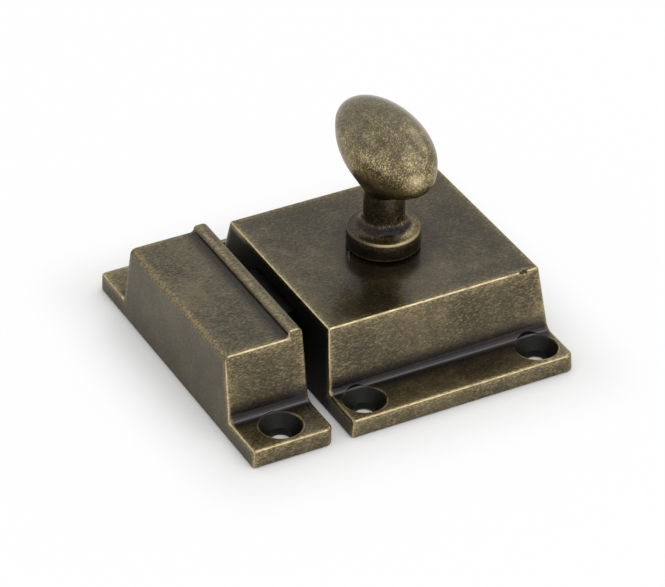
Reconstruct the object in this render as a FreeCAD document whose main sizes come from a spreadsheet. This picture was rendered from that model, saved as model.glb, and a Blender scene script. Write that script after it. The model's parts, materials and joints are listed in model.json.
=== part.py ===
import FreeCAD, Part
import os
import Sketcher

# Surface cupboard latch: a case with an egg knob and a sprung bolt, and the keeper that takes the bolt.
# Millimetres. Z points out of the door, X runs from the keeper to the case, Y runs along both plates.
# The origin is on the knob's axis, in the plane that is screwed to the wood.

# Driving dimensions. Angles are in degrees.
SIZES = {
    # Plates of the case and the keeper
    "plate_length": 50.0,
    "flange_thickness": 2.95,
    "top_wall": 2.4,
    "corner_round_left": 0.6,
    "corner_round_right": 1.3,
    "edge_round": 0.45,
    "bottom_round": 0.35,
    # Screw holes through the flanges
    "hole_radius": 1.55,
    "sink_radius": 3.25,
    "sink_clear": 1.2,
    "hole_end_distance": 4.1,
    "hole_side_distance": 4.22,
    # Case
    "case_width": 36.9,
    "case_block": 35.4,
    "case_end_lean": 12.4,
    "case_side_lean": 5.05,
    "case_foot_left": 0.85,
    "case_foot_right": 1.45,
    "side_wall": 3.07,
    "end_wall": 2.4,
    # Keeper
    "plate_gap": 2.76,
    "keeper_width": 12.9,
    "keeper_block": 34.5,
    "keeper_end_lean": 10.8,
    "keeper_side_lean": 1.9,
    "keeper_foot": 1.2,
    "keeper_left_round": 0.95,
    "keeper_side_wall": 2.5,
    "keeper_play": 0.45,
    "bead_width": 2.35,
    "bead_height": 1.15,
    "bead_root": 0.5,
    "bead_round": 0.62,
    "bead_outer_round": 1.0,
    # Cover plate and its screws
    "cover_recess": 0.2,
    "cover_thickness": 1.0,
    "cover_rim": 1.57,
    "cover_clearance": 0.15,
    "cover_ledge": 1.45,
    "post_radius": 2.0,
    "post_side": 3.2,
    "post_sink": 1.25,
    "cover_screw_radius": 1.0,
    "cover_screw_length": 5.0,
    "cover_head_radius": 1.85,
    "screw_slot_width": 0.5,
    "screw_slot_depth": 0.4,
    "thread_clearance": 0.05,
    # Knob
    "spindle_radius": 2.3,
    "spindle_clearance": 0.05,
    "square_side": 3.2,
    "square_clearance": 0.03,
    "knob_lift": 0.55,
    "collar_radius": 5.52,
    "collar_height": 2.75,
    "collar_round": 0.4,
    "flare_height": 0.45,
    "flare_round": 2.0,
    "neck_radius": 3.08,
    "neck_length": 5.85,
    "egg_length": 22.3,
    "egg_width": 11.54,
    "egg_depth": 7.95,
    "egg_crown": 5.0,
    "egg_fullness": 2.87,
    "egg_pinch": 1.56,
    # Crank on the spindle's square end, with its washers and screw
    "knob_swing": 50.0,
    "crank_radius": 7.5,
    "crank_thickness": 1.45,
    "crank_hub_radius": 4.0,
    "crank_tip_radius": 2.4,
    "crank_gap": 0.3,
    "pin_radius": 1.25,
    "pin_clearance": 0.02,
    "pin_end_gap": 0.7,
    "thrust_washer_radius": 3.6,
    "thrust_washer_thickness": 0.4,
    "thrust_play": 0.1,
    "washer_clearance": 0.1,
    "lock_washer_radius": 2.1,
    "lock_washer_thickness": 0.5,
    "lock_washer_slit": 0.4,
    "crank_screw_radius": 1.0,
    "crank_screw_length": 5.0,
    "crank_head_radius": 2.05,
    "crank_head_height": 1.3,
    "crank_thread_spare": 0.6,
    "head_room": 0.95,
    # Bolt and its spring
    "boss_wall": 1.35,
    "bolt_thickness": 4.4,
    "bolt_clearance": 0.25,
    "bolt_side_gap": 0.6,
    "shoulder_gap": 0.28,
    "nose_width": 12.0,
    "nose_clearance": 0.15,
    "bolt_reach": 5.8,
    "nose_tip": 1.2,
    "window_clearance": 0.2,
    "slot_clearance": 0.12,
    "slot_end_room": 0.3,
    "tail_web": 2.0,
    "stub_radius": 1.4,
    "stub_length": 1.15,
    "spring_wire": 0.45,
    "spring_radius": 2.2,
    "spring_turns": 5,
    "spring_seat_gap": 0.04,
}

# Values worked out from the driving dimensions.
WORKED = {
    "case_half": "sizes.case_width / 2",
    "case_rise": "tan(sizes.case_end_lean)",
    "case_side_rise": "tan(sizes.case_side_lean)",
    "keeper_rise": "tan(sizes.keeper_end_lean)",
    "keeper_side_rise": "tan(sizes.keeper_side_lean)",
    # Heights from the mounting plane to the top of the case
    "cover_top": "sizes.cover_recess + sizes.cover_thickness",
    "head_bottom": "cover_top + sizes.head_room",
    "head_top": "head_bottom + sizes.crank_head_height",
    "crank_bottom": "head_top + sizes.lock_washer_thickness",
    "crank_top": "crank_bottom + sizes.crank_thickness",
    "boss_bottom": "crank_top + sizes.thrust_washer_thickness + sizes.thrust_play",
    "bolt_bottom": "crank_top + sizes.crank_gap",
    "bolt_top": "bolt_bottom + sizes.bolt_thickness",
    "bolt_middle": "bolt_bottom + sizes.bolt_thickness / 2",
    "ceiling": "bolt_top + sizes.bolt_clearance",
    "case_height": "ceiling + sizes.top_wall",
    "keeper_ceiling": "bolt_top + sizes.keeper_play",
    "keeper_height": "keeper_ceiling + sizes.top_wall",
    "bead_top": "keeper_height + sizes.bead_height",
    # Heights of the knob
    "collar_bottom": "case_height + sizes.knob_lift",
    "collar_top": "collar_bottom + sizes.collar_height",
    "flare_top": "collar_top + sizes.flare_height",
    "neck_top": "flare_top + sizes.neck_length",
    "equator": "neck_top + sizes.egg_depth",
    "flare_round": "min(sizes.flare_round; sizes.collar_radius - sizes.neck_radius - sizes.collar_round)",
    # Places of the screw holes
    "hole_y": "sizes.plate_length / 2 - sizes.hole_end_distance",
    "case_hole_x": "case_half - sizes.hole_side_distance",
    "keeper_right": "-case_half - sizes.plate_gap",
    "keeper_left": "keeper_right - sizes.keeper_width",
    "keeper_middle": "(keeper_right + keeper_left) / 2",
    # Hollow of the case
    "cavity_half": "case_half - sizes.side_wall",
    "cavity_foot": "sizes.case_block / 2 - sizes.end_wall + case_rise * sizes.flange_thickness",
    "cavity_head": "cavity_foot - case_rise * ceiling",
    "rebate_half": "case_half - sizes.cover_rim",
    "rebate_end": "cavity_foot + sizes.cover_ledge",
    "post_x": "cavity_half - sizes.post_side",
    "post_y": "cavity_head - sizes.post_radius + sizes.post_sink",
    "boss_radius": "sizes.spindle_radius + sizes.boss_wall",
    # Crank throw and bolt stroke
    "stroke": "2 * sizes.crank_radius * sin(sizes.knob_swing / 2)",
    "pin_x": "-sizes.crank_radius * sin(sizes.knob_swing / 2)",
    "pin_y": "sizes.crank_radius * cos(sizes.knob_swing / 2)",
    "bolt_half": "post_y - sizes.post_radius - sizes.bolt_side_gap",
    "shoulder": "-cavity_half + sizes.shoulder_gap",
    "nose_end": "keeper_right - sizes.bolt_reach",
    "nose_bevel": "sizes.bolt_thickness - sizes.nose_tip",
    "window_half": "boss_radius + sizes.window_clearance",
    "slot_half": "sizes.pin_radius + sizes.slot_clearance",
    "slot_low": "pin_y - sizes.slot_end_room",
    "slot_high": "sizes.crank_radius + sizes.slot_end_room",
    "tail": "window_half + sizes.tail_web",
    "spring_room": "cavity_half - tail",
    "coil_radius": "sizes.spring_radius - sizes.spring_wire / 2",
}

# Cutting tools run past the faces that they cut by this much.
OVERSHOOT = "sizes.flange_thickness"
# Two faces that meet at less than this angle, in radians, count as smooth.
SMOOTH_ANGLE = 0.17
# Levels of the sections between the egg's equator (0) and its neck (1).
EGG_LEVELS = (0, 0.17, 0.34, 0.5, 0.64, 0.78, 0.9, 0.96, 1)
# Two lengths closer than this, in millimetres, count as equal.
SAME = 1e-4

X_AXIS = FreeCAD.Vector(1, 0, 0)
Y_AXIS = FreeCAD.Vector(0, 1, 0)
Z_AXIS = FreeCAD.Vector(0, 0, 1)
ALONG_X = FreeCAD.Rotation(Y_AXIS, 90)
# Planes of the outlines: what runs across the sketch, what runs up it, and its normal.
PLANES = {
    "YZ": FreeCAD.Rotation(Y_AXIS, Z_AXIS, X_AXIS, "XYZ"),
    "XZ": FreeCAD.Rotation(X_AXIS, Z_AXIS, -Y_AXIS, "XYZ"),
}

doc = FreeCAD.newDocument("cupboard_latch")
sizes = doc.addObject("Spreadsheet::Sheet", "sizes")
worked = doc.addObject("Spreadsheet::Sheet", "worked")


def fill_sheets():
    """Write the driving dimensions as plain numbers and the worked values as formulas."""
    for row, (alias, number) in enumerate(SIZES.items(), start=1):
        sizes.set(f"A{row}", alias)
        sizes.set(f"B{row}", str(number))
        sizes.setAlias(f"B{row}", alias)
    for row, (alias, formula) in enumerate(WORKED.items(), start=1):
        worked.set(f"A{row}", alias)
        worked.set(f"B{row}", f"={formula}")
        worked.setAlias(f"B{row}", alias)
    doc.recompute()


def value(formula):
    """The number that a formula gives with the present sizes."""
    return float(sizes.evalExpression(formula))


def bind(item, formulas):
    """Tie properties of an object to formulas."""
    for name, formula in formulas.items():
        item.setExpression(name, formula)


def place(item, x="0", y="0", z="0"):
    """Tie an object's position to formulas."""
    bind(item, {"Placement.Base.x": x, "Placement.Base.y": y, "Placement.Base.z": z})


def block(name, low, high):
    """A box between two corners."""
    item = doc.addObject("Part::Box", name)
    spans = [f"({top}) - ({bottom})" for bottom, top in zip(low, high)]
    bind(item, dict(zip(("Length", "Width", "Height"), spans)))
    place(item, *low)
    return item


def drum(name, radius, low, high, x="0", y="0"):
    """An upright cylinder between two heights."""
    item = doc.addObject("Part::Cylinder", name)
    bind(item, {"Radius": radius, "Height": f"({high}) - ({low})"})
    place(item, x, y, low)
    return item


def rod(name, radius, start, end, z):
    """A cylinder that lies along X at a height."""
    item = doc.addObject("Part::Cylinder", name)
    item.Placement = FreeCAD.Placement(FreeCAD.Vector(), ALONG_X)
    bind(item, {"Radius": radius, "Height": f"({end}) - ({start})"})
    place(item, start, "0", z)
    return item


def cone(name, low_radius, high_radius, low, high, x="0", y="0"):
    """An upright cone between two heights."""
    item = doc.addObject("Part::Cone", name)
    bind(item, {"Radius1": low_radius, "Radius2": high_radius, "Height": f"({high}) - ({low})"})
    place(item, x, y, low)
    return item


def outline(name, plane, corners, x="0"):
    """A closed sketch of straight lines whose corners follow formulas."""
    sketch = doc.addObject("Sketcher::SketchObject", name)
    sketch.Placement = FreeCAD.Placement(FreeCAD.Vector(), PLANES[plane])
    place(sketch, x)
    points = [FreeCAD.Vector(value(across), value(up), 0) for across, up in corners]
    for start, end in zip(points, points[1:] + points[:1]):
        sketch.addGeometry(Part.LineSegment(start, end))
    for line, corner in enumerate(corners):
        before = (line - 1) % len(corners)
        sketch.addConstraint(Sketcher.Constraint("Coincident", before, 2, line, 1))
        for kind, formula, number in zip(("DistanceX", "DistanceY"), corner, points[line]):
            rule = sketch.addConstraint(Sketcher.Constraint(kind, -1, 1, line, 1, number))
            sketch.setExpression(f"Constraints[{rule}]", formula)
    return sketch


def prism(name, plane, corners, length, x="0"):
    """An outline drawn out evenly to both sides of its plane."""
    item = doc.addObject("Part::Extrusion", name)
    item.Base = outline(f"{name}_outline", plane, corners, x)
    item.DirMode = "Normal"
    item.Solid = True
    item.Symmetric = True
    bind(item, {"LengthFwd": length})
    return item


def turned(name, corners):
    """An outline turned about the knob's axis."""
    item = doc.addObject("Part::Revolution", name)
    item.Source = outline(f"{name}_outline", "XZ", corners)
    item.Axis = Z_AXIS
    item.Base = FreeCAD.Vector()
    item.Angle = 360
    item.Solid = True
    return item


def fuse(name, pieces):
    item = doc.addObject("Part::MultiFuse", name)
    item.Shapes = pieces
    item.Refine = True
    return item


def common(name, pieces):
    item = doc.addObject("Part::MultiCommon", name)
    item.Shapes = pieces
    return item


def cut(name, base, tools):
    item = doc.addObject("Part::Cut", name)
    item.Base = base
    item.Tool = tools[0] if len(tools) == 1 else fuse(f"{name}_tools", tools)
    return item


def rounded(name, base, radii):
    """Round the edges of a solid; radii gives an edge's two end radii, or None to leave it sharp."""
    doc.recompute()
    item = doc.addObject("Part::Fillet", name)
    item.Base = base
    chosen = []
    for number, edge in enumerate(base.Shape.Edges, start=1):
        ends = radii(edge)
        if ends:
            chosen.append((number, *ends))
    if not chosen:
        raise RuntimeError(f"{name} finds no edge to round")
    item.Edges = chosen
    return item


def same(one, other):
    return abs(one - other) < SAME


def lies_at(edge, **places):
    """Whether both ends of an edge have the given coordinates, the sign of Y left out."""
    for vertex in (edge.Vertexes[0], edge.Vertexes[-1]):
        here = {"x": vertex.X, "y": abs(vertex.Y), "z": vertex.Z}
        if not all(same(here[axis], at) for axis, at in places.items()):
            return False
    return True


def is_sharp(shape, edge):
    """Whether the two faces of an edge meet at an angle."""
    middle = edge.valueAt((edge.FirstParameter + edge.LastParameter) / 2)
    faces = shape.ancestorsOfType(edge, Part.Face)
    normals = [face.normalAt(*face.Surface.parameter(middle)) for face in faces]
    return len(normals) == 2 and normals[0].getAngle(normals[1]) > SMOOTH_ANGLE


def even(radius):
    return (value(radius), value(radius))


def round_foot(name, base, block_length, left, right):
    """Round the foot of the end walls, from one radius at the left to another at the right."""
    foot_y = value(f"{block_length} / 2")
    foot_z = value("sizes.flange_thickness")

    def radii(edge):
        if not lies_at(edge, y=foot_y, z=foot_z):
            return None
        ends = (value(left), value(right))
        return ends if edge.Vertexes[0].X < edge.Vertexes[-1].X else ends[::-1]

    return rounded(name, base, radii)


def round_corners(name, base):
    """Round the upright corners of the flanges, less at the left than at the right."""
    plate_end = value("sizes.plate_length / 2")

    def radii(edge):
        if not lies_at(edge, y=plate_end) or same(edge.Vertexes[0].Z, edge.Vertexes[-1].Z):
            return None
        is_left = edge.Vertexes[0].X < base.Shape.BoundBox.Center.x
        return even("sizes.corner_round_left" if is_left else "sizes.corner_round_right")

    return rounded(name, base, radii)


def round_edges(name, base, special):
    """Break every sharp edge, less at the mounting plane; special gives an edge its own radius."""
    doc.recompute()

    def radii(edge):
        if not is_sharp(base.Shape, edge):
            return None
        if edge.BoundBox.ZMax < SAME:
            return even("sizes.bottom_round")
        return even(special(edge) or "sizes.edge_round")

    return rounded(name, base, radii)


def screw_hole(name, x, y):
    """A countersunk hole through a flange, with room above it for the screw's head."""
    sink_bottom = "sizes.flange_thickness - (sizes.sink_radius - sizes.hole_radius)"
    shaft = drum(f"{name}_shaft", "sizes.hole_radius", f"-{OVERSHOOT}", OVERSHOOT, x, y)
    sink = cone(f"{name}_sink", "sizes.hole_radius", "sizes.sink_radius", sink_bottom,
                "sizes.flange_thickness", x, y)
    clear = drum(f"{name}_clear", "sizes.sink_radius", "sizes.flange_thickness",
                 "sizes.flange_thickness + sizes.sink_clear", x, y)
    return fuse(name, [shaft, sink, clear])


def plate_profile(block_length, rise, height):
    """Section of a plate along Y: two flanges and a block between leaning end walls."""
    plate_end = "sizes.plate_length / 2"
    foot = f"{block_length} / 2"
    head = f"({foot} - {rise} * ({height} - sizes.flange_thickness))"
    right = [(plate_end, "0"), (plate_end, "sizes.flange_thickness"), (foot, "sizes.flange_thickness"),
             (head, height)]
    left = [(f"-({across})", up) for across, up in reversed(right)]
    return right + left


def hollow_profile(foot, rise, height):
    """Section along Y of a hollow that is open below and whose ends lean as the walls do."""
    low = f"({foot} + {rise} * {OVERSHOOT})"
    head = f"({foot} - {rise} * {height})"
    return [(f"-{low}", f"-{OVERSHOOT}"), (low, f"-{OVERSHOOT}"), (head, height), (f"-{head}", height)]


def make_case():
    """Hollow casting with flanges, spindle boss, cover posts, bolt slot and spring seat."""
    length_prism = prism("case_length", "YZ", plate_profile("sizes.case_block", "worked.case_rise",
                                                            "worked.case_height"), "sizes.case_width")
    top_half = "worked.case_half - worked.case_side_rise * worked.case_height"
    width_prism = prism("case_sides", "XZ", [
        ("-worked.case_half", "0"), ("worked.case_half", "0"),
        (top_half, "worked.case_height"), (f"-({top_half})", "worked.case_height")], "sizes.plate_length")
    blank = common("case_blank", [length_prism, width_prism])
    footed = round_foot("case_footed", blank, "sizes.case_block", "sizes.case_foot_left",
                        "sizes.case_foot_right")
    cornered = round_corners("case_cornered", footed)
    eased = round_edges("case_eased", cornered, lambda edge: None)

    hollow = prism("case_hollow", "YZ", hollow_profile("worked.cavity_foot", "worked.case_rise",
                                                       "worked.ceiling"), "2 * worked.cavity_half")
    rebate = block("case_rebate", ("-worked.rebate_half", "-worked.rebate_end", f"-{OVERSHOOT}"),
                   ("worked.rebate_half", "worked.rebate_end", "worked.cover_top"))
    shell = cut("case_shell", eased, [hollow, rebate])

    wall_depth = "worked.ceiling + sizes.top_wall / 2"
    inside = [drum("case_boss", "worked.boss_radius", "worked.boss_bottom", wall_depth)]
    inside += [drum(f"case_post_{place_name}", "sizes.post_radius", "worked.cover_top", wall_depth, x, y)
               for place_name, x, y in case_posts()]
    inside.append(rod("case_spring_seat", "sizes.stub_radius", "worked.cavity_half - sizes.stub_length",
                      "worked.cavity_half + sizes.side_wall / 3", "worked.bolt_middle"))
    filled = fuse("case_filled", [shell] + inside)

    openings = [drum("case_spindle_bore", "sizes.spindle_radius + sizes.spindle_clearance",
                     f"worked.boss_bottom - {OVERSHOOT}", f"worked.case_height + {OVERSHOOT}")]
    nose_half = "(sizes.nose_width / 2 + sizes.nose_clearance)"
    openings.append(block("case_bolt_slot",
                          (f"-worked.case_half - {OVERSHOOT}", f"-{nose_half}",
                           "worked.bolt_bottom - sizes.nose_clearance"),
                          ("-worked.cavity_half + sizes.shoulder_gap / 2", nose_half,
                           "worked.bolt_top + sizes.nose_clearance")))
    openings += [drum(f"case_thread_{place_name}", "sizes.cover_screw_radius + sizes.thread_clearance",
                      f"worked.cover_top - {OVERSHOOT} / 3",
                      "sizes.cover_recess + sizes.cover_screw_length + sizes.thread_clearance", x, y)
                 for place_name, x, y in case_posts()]
    openings += [screw_hole(f"case_hole_{place_name}", x, y)
                 for place_name, x, y in four_corners("worked.case_hole_x", "worked.hole_y")]
    return cut("latch_case", filled, openings)


def four_corners(x, y):
    """Names and places of the corners of a rectangle about the origin."""
    return [("front_left", f"-{x}", f"-{y}"), ("front_right", x, f"-{y}"),
            ("back_left", f"-{x}", y), ("back_right", x, y)]


def case_posts():
    return four_corners("worked.post_x", "worked.post_y")


def make_keeper():
    """Hollow casting that is open below and towards the case, with a bead that the bolt rides over."""
    length_prism = prism("keeper_length", "YZ", plate_profile("sizes.keeper_block", "worked.keeper_rise",
                                                              "worked.bead_top"),
                         "sizes.keeper_width", "worked.keeper_middle")
    bead_left = "worked.keeper_right - sizes.bead_width"
    top_left = "worked.keeper_left + worked.keeper_side_rise * worked.keeper_height"
    width_prism = prism("keeper_sides", "XZ", [
        ("worked.keeper_left", "0"), ("worked.keeper_right", "0"), ("worked.keeper_right", "worked.bead_top"),
        (bead_left, "worked.bead_top"), (bead_left, "worked.keeper_height"),
        (top_left, "worked.keeper_height")], "sizes.plate_length")
    blank = common("keeper_blank", [length_prism, width_prism])
    footed = round_foot("keeper_footed", blank, "sizes.keeper_block", "sizes.keeper_foot", "sizes.keeper_foot")
    root_x = value(bead_left)
    root_z = value("worked.keeper_height")
    rooted = rounded("keeper_rooted", footed, lambda edge: even("sizes.bead_root") if (
        lies_at(edge, x=root_x, z=root_z)) else None)
    cornered = round_corners("keeper_cornered", rooted)
    left_x = value(top_left)
    right_x = value("worked.keeper_right")
    bead_z = value("worked.bead_top")

    def special(edge):
        if lies_at(edge, x=left_x, z=root_z):
            return "sizes.keeper_left_round"
        if lies_at(edge, x=root_x, z=bead_z):
            return "sizes.bead_round"
        if lies_at(edge, x=right_x, z=bead_z):
            return "sizes.bead_outer_round"
        return None

    eased = round_edges("keeper_eased", cornered, special)
    hollow_foot = "(sizes.keeper_block / 2 - sizes.end_wall + worked.keeper_rise * sizes.flange_thickness)"
    hollow_left = "(worked.keeper_left + sizes.keeper_side_wall)"
    hollow_right = f"(worked.keeper_right + {OVERSHOOT})"
    hollow = prism("keeper_hollow", "YZ", hollow_profile(hollow_foot, "worked.keeper_rise",
                                                         "worked.keeper_ceiling"),
                   f"{hollow_right} - {hollow_left}", f"({hollow_right} + {hollow_left}) / 2")
    holes = [screw_hole("keeper_hole_front", "worked.keeper_middle", "-worked.hole_y"),
             screw_hole("keeper_hole_back", "worked.keeper_middle", "worked.hole_y")]
    return cut("keeper", eased, [hollow] + holes)


def egg_section(number, level):
    """One level of the egg's underside, an ellipse that narrows to the neck's circle."""
    ring = doc.addObject("Part::Ellipse", f"egg_section_{number}")
    ring.Placement = FreeCAD.Placement(FreeCAD.Vector(), FreeCAD.Rotation(Z_AXIS, 90))
    share = f"pow(1 - pow({level}; sizes.egg_fullness); sizes.egg_pinch)"
    for radius, reach in (("MajorRadius", "sizes.egg_length"), ("MinorRadius", "sizes.egg_width")):
        bind(ring, {radius: f"sizes.neck_radius + ({reach} / 2 - sizes.neck_radius) * {share}"})
    place(ring, z=f"worked.equator - sizes.egg_depth * {level}")
    return ring


def make_knob():
    """Egg knob with its neck, collar and spindle in one piece; the spindle ends in a drilled square."""
    stem = turned("knob_stem", [
        ("0", "worked.crank_top"), ("sizes.spindle_radius", "worked.crank_top"),
        ("sizes.spindle_radius", "worked.collar_bottom"), ("sizes.collar_radius", "worked.collar_bottom"),
        ("sizes.collar_radius", "worked.collar_top"), ("sizes.neck_radius", "worked.flare_top"),
        ("sizes.neck_radius", "worked.neck_top"), ("0", "worked.neck_top")])
    rim_z = value("worked.collar_top")
    flare_z = value("worked.flare_top")
    rounds = {"sizes.collar_round": rim_z, "worked.flare_round": flare_z}

    def radii(edge):
        for radius, height in rounds.items():
            if same(edge.BoundBox.ZMin, height) and same(edge.BoundBox.ZMax, height):
                return even(radius)
        return None

    eased = rounded("knob_stem_eased", stem, radii)
    under = doc.addObject("Part::Loft", "egg_under")
    under.Sections = [egg_section(number, level) for number, level in enumerate(EGG_LEVELS)]
    under.Solid = True
    crown = doc.addObject("Part::Ellipsoid", "egg_crown")
    crown.Angle1 = 0
    bind(crown, {"Radius1": "sizes.egg_crown", "Radius2": "sizes.egg_width / 2",
                 "Radius3": "sizes.egg_length / 2"})
    place(crown, z="worked.equator")
    square = square_bar("knob_square", "sizes.square_side / 2", "worked.crank_bottom",
                        "worked.crank_top + sizes.crank_gap")
    whole = fuse("knob_whole", [eased, under, crown, square])
    thread_top = "worked.head_top + sizes.crank_screw_length + sizes.crank_thread_spare"
    thread = drum("knob_thread", "sizes.crank_screw_radius + sizes.thread_clearance",
                  f"worked.crank_bottom - {OVERSHOOT}", thread_top)
    return cut("knob", whole, [thread])


def turned_block(name, low, high, bottom, top):
    """A box turned with the crank about the knob's axis; low and high are its corners before the turn."""
    item = doc.addObject("Part::Box", name)
    turn = "sizes.knob_swing / 2"
    item.Placement = FreeCAD.Placement(FreeCAD.Vector(), FreeCAD.Rotation(Z_AXIS, value(turn)))
    bind(item, {"Length": f"({high[0]}) - ({low[0]})", "Width": f"({high[1]}) - ({low[1]})",
                "Height": f"({top}) - ({bottom})", "Placement.Rotation.Angle": turn})
    place(item, f"({low[0]}) * cos({turn}) - ({low[1]}) * sin({turn})",
          f"({low[0]}) * sin({turn}) + ({low[1]}) * cos({turn})", bottom)
    return item


def square_bar(name, half, bottom, top):
    return turned_block(name, (f"-({half})", f"-({half})"), (half, half), bottom, top)


def make_crank():
    """Lever on the spindle's square that carries the pin."""
    hub = drum("crank_hub", "sizes.crank_hub_radius", "worked.crank_bottom", "worked.crank_top")
    tip = drum("crank_tip", "sizes.crank_tip_radius", "worked.crank_bottom", "worked.crank_top",
               "worked.pin_x", "worked.pin_y")
    arm = turned_block("crank_arm", ("-sizes.crank_tip_radius", "0"),
                       ("sizes.crank_tip_radius", "sizes.crank_radius"),
                       "worked.crank_bottom", "worked.crank_top")
    lever = fuse("crank_lever", [hub, tip, arm])
    square = square_bar("crank_square", "sizes.square_side / 2 + sizes.square_clearance",
                        f"worked.crank_bottom - {OVERSHOOT}", f"worked.crank_top + {OVERSHOOT}")
    pin_hole = drum("crank_pin_hole", "sizes.pin_radius + sizes.pin_clearance",
                    f"worked.crank_bottom - {OVERSHOOT}", f"worked.crank_top + {OVERSHOOT}",
                    "worked.pin_x", "worked.pin_y")
    return cut("crank", lever, [square, pin_hole])


def make_crank_pin():
    return drum("crank_pin", "sizes.pin_radius", "worked.crank_bottom",
                "worked.bolt_top - sizes.pin_end_gap", "worked.pin_x", "worked.pin_y")


def ring(name, outer, inner, low, high):
    """A flat ring between two heights."""
    disc = drum(f"{name}_disc", outer, low, high)
    hole = drum(f"{name}_hole", inner, f"{low} - {OVERSHOOT}", f"{high} + {OVERSHOOT}")
    return disc, hole


def make_thrust_washer():
    disc, hole = ring("thrust_washer", "sizes.thrust_washer_radius",
                      "sizes.spindle_radius + sizes.washer_clearance", "worked.crank_top",
                      "worked.crank_top + sizes.thrust_washer_thickness")
    return cut("thrust_washer", disc, [hole])


def make_lock_washer():
    """Split washer under the head of the crank's screw."""
    disc, hole = ring("lock_washer", "sizes.lock_washer_radius",
                      "sizes.crank_screw_radius + sizes.washer_clearance", "worked.head_top",
                      "worked.crank_bottom")
    slit = block("lock_washer_slit", ("0", "-sizes.lock_washer_slit / 2", f"worked.head_top - {OVERSHOOT}"),
                 (f"sizes.lock_washer_radius + {OVERSHOOT}", "sizes.lock_washer_slit / 2",
                  f"worked.crank_bottom + {OVERSHOOT}"))
    return cut("lock_washer", disc, [hole, slit])


def driver_slot(name, reach, low, x="0", y="0"):
    """Straight slot in the lower face of a screw's head."""
    return block(name, (f"({x}) - ({reach})", f"({y}) - sizes.screw_slot_width / 2", f"({low}) - {OVERSHOOT}"),
                 (f"({x}) + ({reach})", f"({y}) + sizes.screw_slot_width / 2",
                  f"({low}) + sizes.screw_slot_depth"))


def make_crank_screw():
    """Cheese-head screw that holds the crank to the spindle."""
    head = drum("crank_screw_head", "sizes.crank_head_radius", "worked.head_bottom", "worked.head_top")
    shank = drum("crank_screw_shank", "sizes.crank_screw_radius", "worked.head_bottom",
                 "worked.head_top + sizes.crank_screw_length")
    whole = fuse("crank_screw_whole", [head, shank])
    slot = driver_slot("crank_screw_slot", "sizes.crank_head_radius * 2", "worked.head_bottom")
    return cut("crank_screw", whole, [slot])


def make_bolt():
    """Sliding bolt: bevelled nose, window around the spindle boss, cross slot for the pin, spring stub."""
    body = block("bolt_body", ("worked.shoulder", "-worked.bolt_half", "worked.bolt_bottom"),
                 ("worked.tail", "worked.bolt_half", "worked.bolt_top"))
    nose = block("bolt_nose", ("worked.nose_end", "-sizes.nose_width / 2", "worked.bolt_bottom"),
                 ("worked.shoulder", "sizes.nose_width / 2", "worked.bolt_top"))
    stub = rod("bolt_stub", "sizes.stub_radius", "worked.tail - sizes.tail_web / 2",
               "worked.tail + sizes.stub_length", "worked.bolt_middle")
    whole = fuse("bolt_whole", [body, nose, stub])
    bevel = prism("bolt_bevel", "XZ", [
        (f"worked.nose_end - {OVERSHOOT}", f"worked.bolt_bottom - {OVERSHOOT}"),
        (f"worked.nose_end + worked.nose_bevel + {OVERSHOOT}", f"worked.bolt_bottom - {OVERSHOOT}"),
        (f"worked.nose_end - {OVERSHOOT}", f"worked.bolt_bottom + worked.nose_bevel + {OVERSHOOT}")],
        f"sizes.nose_width + 2 * {OVERSHOOT}")
    low = f"worked.bolt_bottom - {OVERSHOOT}"
    high = f"worked.bolt_top + {OVERSHOOT}"
    window = [block("bolt_window", ("-worked.stroke", "-worked.window_half", low),
                    ("0", "worked.window_half", high)),
              drum("bolt_window_right", "worked.window_half", low, high),
              drum("bolt_window_left", "worked.window_half", low, high, "-worked.stroke")]
    slot = [block("bolt_slot", ("worked.pin_x - worked.slot_half", "worked.slot_low", low),
                  ("worked.pin_x + worked.slot_half", "worked.slot_high", high)),
            drum("bolt_slot_near", "worked.slot_half", low, high, "worked.pin_x", "worked.slot_low"),
            drum("bolt_slot_far", "worked.slot_half", low, high, "worked.pin_x", "worked.slot_high")]
    return cut("bolt", whole, [bevel] + window + slot)


def make_bolt_spring():
    """Round-wire spring between the bolt's tail and the case wall, wound along Z and then laid along X."""
    helix = doc.addObject("Part::Helix", "spring_path")
    height = "(worked.spring_room - sizes.spring_wire - 2 * sizes.spring_seat_gap)"
    bind(helix, {"Radius": "worked.coil_radius", "Height": height, "Pitch": f"{height} / sizes.spring_turns"})
    wire = doc.addObject("Part::Circle", "spring_wire")
    wire.Placement = FreeCAD.Placement(FreeCAD.Vector(), FreeCAD.Rotation(X_AXIS, 90))
    bind(wire, {"Radius": "sizes.spring_wire / 2"})
    place(wire, "worked.coil_radius")
    coil = doc.addObject("Part::Sweep", "bolt_spring")
    coil.Sections = [wire]
    doc.recompute()
    coil.Spine = (helix, [f"Edge{number}" for number in range(1, len(helix.Shape.Edges) + 1)])
    coil.Solid = True
    coil.Frenet = True
    coil.Placement = FreeCAD.Placement(FreeCAD.Vector(), ALONG_X)
    place(coil, "worked.tail + sizes.spring_wire / 2 + sizes.spring_seat_gap", "0", "worked.bolt_middle")
    return coil


def sunk_screw(name, x, y, radius, head_radius, reach):
    """A countersunk head and a shank, pointing up from the bottom of the cover plate."""
    head_top = f"sizes.cover_recess + ({head_radius}) - ({radius})"
    head = cone(f"{name}_head", head_radius, radius, "sizes.cover_recess", head_top, x, y)
    shank = drum(f"{name}_shank", radius, "sizes.cover_recess", reach, x, y)
    return fuse(f"{name}_body", [head, shank])


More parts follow.
